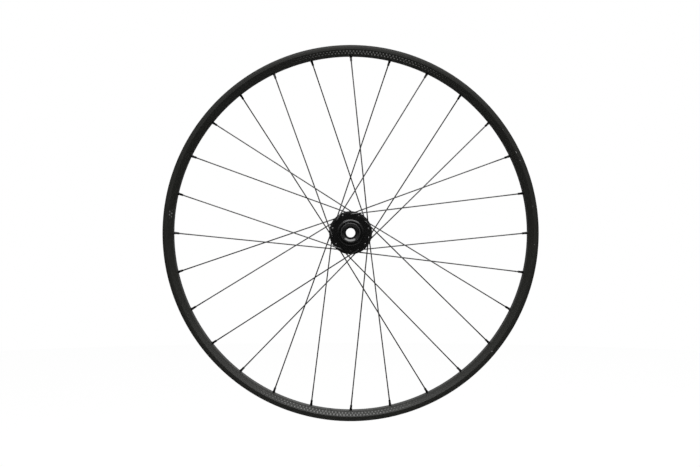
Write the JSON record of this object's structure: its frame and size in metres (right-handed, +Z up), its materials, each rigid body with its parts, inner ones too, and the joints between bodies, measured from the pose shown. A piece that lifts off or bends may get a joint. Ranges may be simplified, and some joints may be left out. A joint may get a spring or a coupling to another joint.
{
  "type": "bicycle wheel",
  "caption": "Black front bicycle wheel with crossed wire spokes, a hollow alloy rim without a tyre, and a sealed-bearing disc-brake hub for a through-axle.",
  "frame": {"origin": "middle of the hub, on the axle's axis and in the rim's middle plane", "axes": "+Y along the axle to the left, rotor side; +Z up; +X forward"},
  "size_m": [0.596, 0.11, 0.596],
  "materials": {
    "rim_black": "satin",
    "hub_black": "satin",
    "cap_black": "satin",
    "axle_alloy": "satin",
    "nipple_black": "gloss",
    "spoke_black": "satin",
    "bearing_steel": "polished",
    "seal_rubber": "matte",
    "o_ring_rubber": "matte",
    "cage_nylon": "matte"
  },
  "bodies": {
    "axle": {"axle_tube": "axle_alloy", "right_end_cap": "cap_black", "left_end_cap": "cap_black", "right_cap_o_ring": "o_ring_rubber", "left_cap_o_ring": "o_ring_rubber", "right_bearing_inner_race": "bearing_steel", "left_bearing_inner_race": "bearing_steel"},
    "wheel": {"rim": "rim_black", "nipples": "nipple_black", "hub_shell": "hub_black", "spoke_01": "spoke_black", "spoke_02": "spoke_black", "spoke_03": "spoke_black", "spoke_04": "spoke_black", "spoke_05": "spoke_black", "spoke_06": "spoke_black", "spoke_07": "spoke_black", "spoke_08": "spoke_black", "spoke_09": "spoke_black", "spoke_10": "spoke_black", "spoke_11": "spoke_black", "spoke_12": "spoke_black", "spoke_13": "spoke_black", "spoke_14": "spoke_black", "spoke_15": "spoke_black", "spoke_16": "spoke_black", "spoke_17": "spoke_black", "spoke_18": "spoke_black", "spoke_19": "spoke_black", "spoke_20": "spoke_black", "spoke_21": "spoke_black", "spoke_22": "spoke_black", "spoke_23": "spoke_black", "spoke_24": "spoke_black", "spoke_25": "spoke_black", "spoke_26": "spoke_black", "spoke_27": "spoke_black", "spoke_28": "spoke_black", "right_bearing_outer_race": "bearing_steel", "right_bearing_outboard_seal": "seal_rubber", "right_bearing_inboard_seal": "seal_rubber", "left_bearing_outer_race": "bearing_steel", "left_bearing_outboard_seal": "seal_rubber", "left_bearing_inboard_seal": "seal_rubber"},
    "right_ball_set": {"right_bearing_balls": "bearing_steel", "right_bearing_cage": "cage_nylon"},
    "left_ball_set": {"left_bearing_balls": "bearing_steel", "left_bearing_cage": "cage_nylon"}
  },
  "joints": [
    {"name": "wheel_spin", "type": "hinge", "parent": "axle", "child": "wheel", "pos_m": [0, 0, 0], "axis": [0, 1, 0], "continuous": true},
    {"name": "right_cage_spin", "type": "hinge", "parent": "axle", "child": "right_ball_set", "pos_m": [0, 0, 0], "axis": [0, 1, 0], "continuous": true},
    {"name": "left_cage_spin", "type": "hinge", "parent": "axle", "child": "left_ball_set", "pos_m": [0, 0, 0], "axis": [0, 1, 0], "continuous": true}
  ],
  "couplings": [
    {"joint": "right_cage_spin", "follows": "wheel_spin", "ratio": 0.56731},
    {"joint": "left_cage_spin", "follows": "wheel_spin", "ratio": 0.56731}
  ]
}
